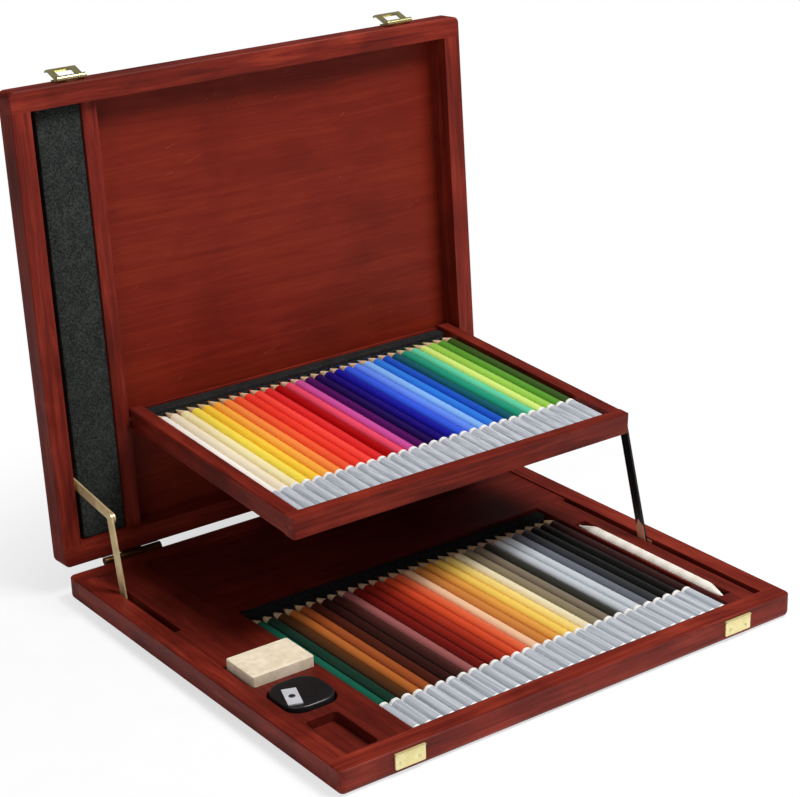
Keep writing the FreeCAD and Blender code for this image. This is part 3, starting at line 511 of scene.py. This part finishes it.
upper_colours = [
    (253, 247, 238), (247, 234, 204), (250, 238, 184), (252, 228, 84), (255, 207, 64),
    (254, 176, 68), (252, 142, 68), (246, 92, 54), (242, 62, 46), (252, 74, 62),
    (228, 46, 48), (168, 4, 10), (238, 76, 104), (206, 82, 160), (76, 16, 92),
    (18, 10, 80), (10, 10, 116), (4, 22, 152), (48, 92, 226), (98, 142, 244),
    (132, 186, 248), (40, 124, 226), (16, 84, 192), (0, 88, 104), (22, 150, 120),
    (96, 210, 166), (214, 240, 128), (156, 208, 84), (90, 154, 50), (56, 88, 34)]
lower_colours = [
    (24, 94, 74), (24, 56, 44), (78, 46, 24), (180, 102, 46), (160, 82, 40),
    (76, 32, 22), (50, 24, 20), (64, 32, 28), (156, 90, 88), (112, 24, 20),
    (132, 32, 24), (166, 48, 30), (212, 76, 42), (228, 100, 60), (243, 196, 156),
    (208, 132, 64), (229, 158, 70), (247, 206, 94), (251, 219, 122), (240, 226, 186),
    (140, 128, 102), (128, 115, 98), (52, 52, 46), (196, 202, 206), (200, 207, 212),
    (106, 110, 120), (56, 58, 62), (24, 26, 26), (20, 21, 20), (52, 28, 28)]


def pencil_row(name, colours, start, carry, body, stands_for, seed):
    """A row of pencils: the turned profile, moved along x by the pitch for each one.

    Each pencil also lies a little too far back, by chance between nothing and PUSHED_BACK, as
    pencils do that are pushed in by hand.
    """
    count, step = len(colours), len(PROFILE) * SIDES
    back = np.random.default_rng(seed).uniform(0.0, PUSHED_BACK, count)
    starts = np.column_stack([start[0] + PITCH * np.arange(count), start[1] + back,
                              np.full(count, start[2])])
    points = starts[:, None, None] + lathe(PROFILE[:, 0], PROFILE[:, 1], SIDES)
    faces = repeated(tube_faces(len(PROFILE), SIDES, flip=True), count, step)
    ids = np.concatenate([np.repeat(PROFILE[:-1, 2], SIDES), [DIP, LEAD]]).astype(int)
    piece = piece_from(name, carry(points), faces, pencil_finishes, body, stands_for,
                       np.tile(ids, count))
    paint = piece.data.color_attributes.new("paint", "FLOAT_COLOR", "POINT")
    values = np.repeat(np.array([tint(*c) for c in colours]), step, axis=0)
    paint.data.foreach_set("color", values.ravel())
    return piece


rows = [
    pencil_row("pencils_in_base", lower_colours, LOWER_START, as_is, "base",
               ["lower_pencils"], 4),
    pencil_row("pencils_in_tray", upper_colours, UPPER_START, in_tray, "tray",
               ["upper_pencils"], 7),
]
print([len(row.data.polygons) for row in rows], "faces in the two rows")

# %% [markdown]
# ## The foam
#
# Black foam keeps the points from harm: a strip behind each row, cut with a ramp so that it
# reaches under the sharpened cones, and a long pad in the lid that presses on the eraser and
# the sharpener when the case is shut. Cut foam has soft arrises, a skin that is never quite
# flat, and open cells that look like fine pits.
#
# A strip is its outline, swept along x. The outline is sampled evenly and then smoothed, each
# point becoming the mean of its neighbours, which rounds every corner.

# %% Foam finish, strips and pad
def foam_finish(name, dark, light, cell):
    """Pits between dark and light, with so many cells to the metre, over a coarser mottle."""
    f = Finish(name)
    even = f.stretched()
    cells = f.add("TexVoronoi", "Distance", Vector=even, Scale=cell)
    mottle = f.noise(even, cell * 0.22, 4.0, 0.7)
    colour = f.ramp(f.mix(0.5, cells, mottle), (0.3, tint(*dark)), (0.7, tint(*light)))
    return f.set(Base_Color=colour, Roughness=0.95, Specular_IOR_Level=0.15,
                 Normal=f.relief(f.mix(0.4, cells, mottle), 0.0006, 0.8))


strip_foam = foam_finish("foam_strip", (14, 13, 14), (40, 38, 38), 900.0)
pad_foam = foam_finish("foam_pad", (20, 23, 22), (54, 58, 55), 700.0)


WAVE_LENGTHS = (90.0, 47.0, 31.0, 19.0, 11.0)


def waves(x, y, depth, seed):
    """A slow unevenness: the mean of sine waves of different lengths and directions."""
    dice = np.random.default_rng(seed)
    height = np.zeros(np.broadcast(x, y).shape)
    for length in WAVE_LENGTHS:
        angle, start = dice.uniform(0, 2 * math.pi, 2)
        run = x * math.cos(angle) + y * math.sin(angle)
        height += np.sin(2 * math.pi * run / length + start)
    return depth * height / len(WAVE_LENGTHS)


def smooth_outline(corners, samples, rounds):
    """An outline sampled evenly along its length, then averaged with its neighbours."""
    corners = np.array(corners, float)
    closed = np.vstack([corners, corners[:1]])
    run = np.concatenate([[0.0], np.cumsum(np.linalg.norm(np.diff(closed, axis=0), axis=1))])
    at = np.linspace(0.0, run[-1], samples, endpoint=False)
    line = np.column_stack([np.interp(at, run, closed[:, k]) for k in (0, 1)])
    for _ in range(rounds):
        line = (np.roll(line, 1, axis=0) + 2 * line + np.roll(line, -1, axis=0)) / 4
    return line


END_SOFT, END_SHRINK = 0.9, 0.06            # how long a soft end is, and how much it shrinks
SKIN_DEPTH = 0.02                           # depth of the waves, as a share of the outline


def foam_strip(name, corners, x0, x1, carry, body, stands_for, seed):
    """A y-z outline swept along x, a little smaller at its two ends, with a wavy skin.

    In a soft end the outline shrinks with the square of how far it still is from full size,
    and everywhere it shrinks a little more or a little less with the waves.
    """
    line = smooth_outline(corners, samples=96, rounds=5)
    centre = line.mean(axis=0)
    soft = END_SOFT * (1 - np.cos(np.linspace(0, math.pi / 2, 6)))
    x = np.concatenate([x0 + soft, np.linspace(x0 + 3, x1 - 3, 70), (x1 - soft)[::-1]])
    near = np.minimum(x - x0, x1 - x)
    size = 1 - END_SHRINK * np.clip(1 - near / END_SOFT, 0, 1) ** 2
    yz = centre + (line - centre) * size[:, None, None]
    ring = np.arange(len(line))
    skin = 1 - SKIN_DEPTH * (1 + waves(x[:, None], 2.0 * ring[None, :], 1.0, seed))
    yz = centre + (yz - centre) * skin[..., None]
    along_x = np.broadcast_to(x[:, None, None], (len(x), len(line), 1))
    points = np.concatenate([along_x, yz], axis=-1)
    piece = piece_from(name, carry(points), tube_faces(len(x), len(line)), [strip_foam], body,
                       stands_for)


RAMP_LONG, RAMP_HIGH = 10.4, 3.4


def ramp_outline(wall, back, low, high):
    """Foam behind the points: a low ramp under the cones, then the full height at the back."""
    return [(wall - RAMP_LONG, low), (back, low), (back, high), (wall, high),
            (wall, low + RAMP_HIGH)]


foam_strip("foam_behind_lower_points", ramp_outline(wall=36.9, back=45.5, low=6.6, high=13.4),
           -110.1, 131.4, as_is, "base", ["base_tip_foam"], 21)
foam_strip("foam_behind_upper_points", ramp_outline(wall=62.5, back=71.1, low=21.7, high=28.5),
           -98.1, 143.4, in_tray, "tray", ["tray_tip_foam"], 22)

# the pad is shaped lying on its back, and then hung from the panel of the shut lid
PANEL_Z, WAVY_ABOVE = 32.1, 6.0
pad = soft_block((-150.8, -141.5, 0.0), (-119.94, 141.5, 8.9), corner=1.2, edge=1.0, crown=0.35,
                 steps=40)
ripple = waves(pad[..., 0], pad[..., 1], depth=0.25, seed=5)
pad[..., 2] += np.where(pad[..., 2] > WAVY_ABOVE, ripple, 0.0)
pad[..., 2] = PANEL_Z - pad[..., 2]
lid_pad = piece_from("foam_pad_in_lid", in_lid(pad), tube_faces(len(pad), pad.shape[1], flip=True),
                     [pad_foam], "lid", ["lid_foam_pad"])
print("three foam pieces")

# %% [markdown]
# ## Eraser, sharpener and stump
#
# The eraser is a cream block, sharp-edged when new and a little dusty. The sharpener is a
# black block of moulded plastic with round corners and a steel blade held by one screw. The
# stump is cream-white paper, rolled tight and pointed at both ends. It is a little thinner
# wherever the edge of the paper winds round it.

# %% Tools in the base
def rubber():
    """Cream rubber, dusty in small spots and smudged in larger ones."""
    f = Finish("eraser_rubber")
    even = f.stretched()
    dust = f.noise(even, 260.0, 5.0, 0.65)
    smudge = f.noise(even, 60.0, 3.0, 0.5)
    colour = f.ramp(dust, (0.35, tint(226, 210, 182)), (0.65, tint(242, 229, 205)))
    shade = f.ramp(smudge, (0.35, tint(206, 190, 172)), (0.65, tint(255, 255, 255)))
    colour = f.mix(0.3, colour, shade, "MULTIPLY")
    return f.set(Base_Color=colour, Roughness=0.78, Normal=f.relief(dust, 0.00012, 0.5),
                 Subsurface_Weight=0.05, Subsurface_Scale=0.004)


def plastic():
    """Black moulded plastic with a fine grain in its gloss."""
    f = Finish("sharpener_plastic")
    fine = f.noise(f.stretched(), 1400.0, 2.0, 0.5)
    gloss = f.ramp(fine, (0.3, grey(0.28)), (0.7, grey(0.42)))
    colour = f.ramp(fine, (0.3, tint(16, 16, 17)), (0.7, tint(30, 30, 31)))
    return f.set(Base_Color=colour, Roughness=gloss, Normal=f.relief(fine, 0.00003, 0.5))


def paper():
    """Rolled paper: fine fibres, and slow bands along the stump where it winds."""
    f = Finish("stump_paper")
    even = f.stretched()
    wind = f.add("TexWave", "Fac", {"wave_type": "BANDS", "bands_direction": "Y"},
                 Vector=f.stretched((0.5, 1.0, 0.5)), Scale=24.0, Distortion=1.4, Detail=2.0)
    fibre = f.noise(even, 900.0, 4.0, 0.6)
    colour = f.ramp(f.mix(0.8, wind, fibre), (0.25, tint(214, 204, 190)),
                    (0.75, tint(242, 236, 226)))
    rolled = f.relief(f.mix(0.75, wind, fibre), 0.00005, 0.5)
    return f.set(Base_Color=colour, Roughness=0.86, Normal=rolled)


eraser = soft_block((-155.4, -45.0, 10.5), (-112.44, -15.0, 21.7), corner=1.6, edge=0.7,
                    crown=0.15, steps=6)
piece_from("eraser_block", eraser, tube_faces(len(eraser), eraser.shape[1]), [rubber()], "base",
           ["eraser"])

sharpener = soft_block((-155.5, -87.5, 9.2), (-121.5, -53.5, 18.2), corner=12.5, edge=1.3,
                       crown=0.1, steps=14)
piece_from("sharpener_shell", sharpener, tube_faces(len(sharpener), sharpener.shape[1]),
           [plastic()], "base", ["sharpener_body"])

# the stump's axis in x and z, and its front end in y
STUMP_X, STUMP_Y, STUMP_Z = 138.4, -129.5, 12.8
STUMP_LONG, STUMP_R, STUMP_SIDES = 139.0, 4.45, 32
POINT_LONG, POINT_R = 15.0, 0.12            # the tip's radius is a share of the stump's
WINDING = 9.0                               # from one edge of the paper to the next

along = np.linspace(0.0, 1.0, 90)
from_end = np.minimum(along, 1 - along) * STUMP_LONG
stump_y = STUMP_Y + STUMP_LONG * along
stump_r = STUMP_R * np.clip(from_end / POINT_LONG, POINT_R, 1.0) ** 0.9
stump_r -= 0.01 * (1 + np.cos(2 * math.pi * stump_y / WINDING)) * (stump_r > 4.0)
stump = lathe(stump_y, stump_r, STUMP_SIDES) + np.array([STUMP_X, 0.0, STUMP_Z])
piece_from("paper_roll", stump, tube_faces(len(stump), STUMP_SIDES, flip=True), [paper()],
           "base", ["paper_stump"])
print("tools in place")

# %% [markdown]
# ## Screw heads
#
# Small round-headed screws hold the hinges, clasps and catch plates, and one holds the blade
# of the sharpener. Each head is a shallow dome with a slot across it. The dome falls with the
# square of the distance from its middle, and inside the slot the surface drops to a flat
# floor. The slots point every way.

# %% Screw heads
HEAD_RINGS, HEAD_SIDES = 8, 40
RIM = 0.35                                  # the dome's height at its rim, as a share
SLOT_HALF, SLOT_FLOOR = 0.17, 0.25          # shares of the radius and of the height


def screw_heads(name, spots, radius, height, carry, body, finish, seed, stands_for=(),
                facing="y"):
    """Round heads at the spots of the shut case, facing along y, along minus y or along z.

    The height over a ring is the rim's share plus the rest times one less the square of the
    ring's size. Points near the slot's line get the height of its floor instead.
    """
    rings = np.linspace(1.0, 0.0, HEAD_RINGS + 1)[:-1, None]
    turn = np.linspace(0.0, 2 * math.pi, HEAD_SIDES, endpoint=False)
    u, v = radius * rings * np.cos(turn), radius * rings * np.sin(turn)
    dome = height * (RIM + (1 - RIM) * (1 - rings ** 2))
    foot = np.stack([u[:1], v[:1], np.zeros_like(u[:1])], axis=-1)
    angles = np.random.default_rng(seed).uniform(0.0, math.pi, len(spots))
    points = []
    for spot, angle in zip(spots, angles):
        across = np.abs(u * math.cos(angle) + v * math.sin(angle))
        up = np.where(across < SLOT_HALF * radius, SLOT_FLOOR * height, dome)
        head = np.concatenate([foot, np.stack([u, v, up], axis=-1)])
        if facing != "z":
            sign = -1.0 if facing == "-y" else 1.0
            head = np.stack([-sign * head[..., 0], sign * head[..., 2], head[..., 1]], axis=-1)
        points.append((head + np.array(spot)).reshape(-1, 3))
    faces = repeated(tube_faces(HEAD_RINGS + 1, HEAD_SIDES), len(spots),
                     (HEAD_RINGS + 1) * HEAD_SIDES)
    piece_from(name, carry(np.concatenate(points)), faces, [finish], body, stands_for)


HINGE_X, CLASP_X = 121.0, 124.0             # from the middle of the case to a fitting's middle
BACK_Y, FRONT_Y = 156.2, -156.0             # where the heads sit on the plates
leaf_x = [side * (HINGE_X + step) for side in (-1, 1) for step in (-14.0, 0.0, 14.0)]
catch_x = [side * CLASP_X + step for side in (-1, 1) for step in (-6.5, 6.5)]
clasp_x = [side * CLASP_X + step for side in (-1, 1) for step in (-6.2, 6.2)]
screw_heads("screws_base_hinges", [(x, BACK_Y, 8.6) for x in leaf_x], 1.7, 0.7, as_is, "base",
            finishes["bronze_and_shade"], 1)
screw_heads("screws_lid_hinges", [(x, BACK_Y, 23.8) for x in leaf_x], 1.7, 0.7, in_lid, "lid",
            finishes["bronze_and_shade"], 2)
screw_heads("screws_catch_plates", [(x, FRONT_Y, 7.4) for x in catch_x], 1.3, 0.5, as_is, "base",
            finishes["brass"], 3, facing="-y")
screw_heads("screws_clasp_plates", [(x, FRONT_Y, 28.6) for x in clasp_x], 1.1, 0.45, in_lid,
            "lid", finishes["clasp"], 4, facing="-y")
screw_heads("screw_of_sharpener", [(-147.0, -73.5, 19.0)], 2.0, 0.7, as_is, "base",
            finishes["screw"], 9, ["sharpener_screw"], facing="z")
print("screws set")

# %% [markdown]
# ## Floor, light and view
#
# The case stands on a white table in a white room, lit as goods are lit for a catalogue: one
# large soft light above and in front, a weaker one from the left, and pale walls all round.
# The table stays white right up to the case and keeps only its soft shadow. Far from the case
# the table glows as white as the room, so that no edge of it shows.

# %% Floor
def table():
    """White paint that glows for the eye alone: 0.6 at the case and fully from 0.45 m on."""
    f = Finish("table_white")
    place = f.add("TexCoord", "Object")
    fine = f.noise(place, 40.0, 3.0, 0.5)
    f.set(Base_Color=f.ramp(fine, (0.3, tint(246, 246, 246)), (0.7, tint(252, 252, 252))),
          Roughness=0.8, Specular_IOR_Level=0.1)
    glow = f.add("Emission", Color=grey(1.0), Strength=1.0)
    away = f.add("VectorMath", "Value", {"operation": "LENGTH"}, _0=place)
    share = f.add("MapRange", 0, {"interpolation_type": "SMOOTHSTEP"}, Value=away, From_Min=0.1,
                  From_Max=0.45, To_Min=0.6)
    seen = f.add("Math", 0, {"operation": "MULTIPLY"}, _0=share,
                 _1=f.add("LightPath", "Is Camera Ray"))
    both = f.add("MixShader", _0=seen, _1=f.shader.outputs["BSDF"], _2=glow)
    f.tree.links.new(both, f.out.inputs["Surface"])
    return f.material


TABLE_Z, TABLE_SIDES = -0.2, 96
reach = np.array([3000.0, 1200.0, 500.0, 200.0, 40.0])
turn = np.linspace(0.0, 2 * math.pi, TABLE_SIDES, endpoint=False)
disc = np.stack([reach[:, None] * np.cos(turn), reach[:, None] * np.sin(turn),
                 np.full((len(reach), TABLE_SIDES), TABLE_Z)], axis=-1)
quads = tube_faces(len(reach), TABLE_SIDES)
del quads[-2]                               # the cap that would close the outer rim
floor = shape_from("table", disc, quads, [table()])
print("a round table,", 2 * reach[0] * MM, "m across")

# %% Light
# The room lights the case weakly, but where the view looks past the case it is plain white.
ROOM_LIGHT = 0.12
world = bpy.data.worlds.new("white_room")
bpy.context.scene.world = world
world.use_nodes = True
sky = world.node_tree
sky.nodes.clear()
path = sky.nodes.new("ShaderNodeLightPath")
either = sky.nodes.new("ShaderNodeMixShader")
end = sky.nodes.new("ShaderNodeOutputWorld")
sky.links.new(path.outputs["Is Camera Ray"], either.inputs[0])
for number, strength in ((1, ROOM_LIGHT), (2, 1.0)):
    walls = sky.nodes.new("ShaderNodeBackground")
    walls.inputs["Color"].default_value = grey(1.0)
    walls.inputs["Strength"].default_value = strength
    sky.links.new(walls.outputs[0], either.inputs[number])
sky.links.new(either.outputs[0], end.inputs["Surface"])


def standing(right, up, back, place):
    """The matrix of a lamp or camera that looks along minus back; its columns are the axes."""
    return Matrix([[right[k], up[k], back[k], place[k]] for k in range(3)] + [[0, 0, 0, 1]])


def soft_light(name, place, target, size, power):
    """A square area light at a place, looking at a target, all in metres and watts."""
    lamp = bpy.data.lights.new(name, "AREA")
    lamp.shape, lamp.size, lamp.energy = "SQUARE", size, power
    holder = bpy.data.objects.new(name, lamp)
    bpy.context.scene.collection.objects.link(holder)
    back = np.array(place) - np.array(target)
    back /= np.linalg.norm(back)
    right = np.cross((0.0, 0.0, 1.0), back)
    right /= np.linalg.norm(right)
    up = np.cross(back, right)
    holder.matrix_world = standing(right, up, back, place)


MIDDLE = (0.0, 0.0, 0.1)
soft_light("key_light", (0.45, -0.55, 1.4), MIDDLE, size=0.6, power=26.5)
soft_light("left_light", (-1.2, -0.6, 0.7), MIDDLE, size=0.8, power=3.5)
print("two lights and a pale room")

# %% View
YAW, NOD, ROLL = 0.6165, -0.3754, -0.031    # to the right of y, upwards, and about the view
PLACE = np.array([-0.7046157, -0.9734001, 0.6067476])
ahead = np.array([math.sin(YAW), math.cos(YAW), 0.0])
right = np.array([math.cos(YAW), -math.sin(YAW), 0.0])
look = ahead * math.cos(NOD) + np.array([0.0, 0.0, math.sin(NOD)])
up = np.cross(right, look)
cam_x = right * math.cos(ROLL) + up * math.sin(ROLL)
cam_y = -right * math.sin(ROLL) + up * math.cos(ROLL)
camera = bpy.data.objects.new("camera", bpy.data.cameras.new("camera"))
bpy.context.scene.collection.objects.link(camera)
camera.matrix_world = standing(cam_x, cam_y, -look, PLACE)
camera.data.sensor_width = 36.0
camera.data.lens = 94.78
camera.data.shift_x, camera.data.shift_y = 0.00236, 0.01748
camera.data.clip_start = 0.05
bpy.context.scene.camera = camera
bpy.context.scene.view_settings.view_transform = "Standard"
print("the camera is", round(float(np.linalg.norm(PLACE)), 2), "m from the middle of the base")
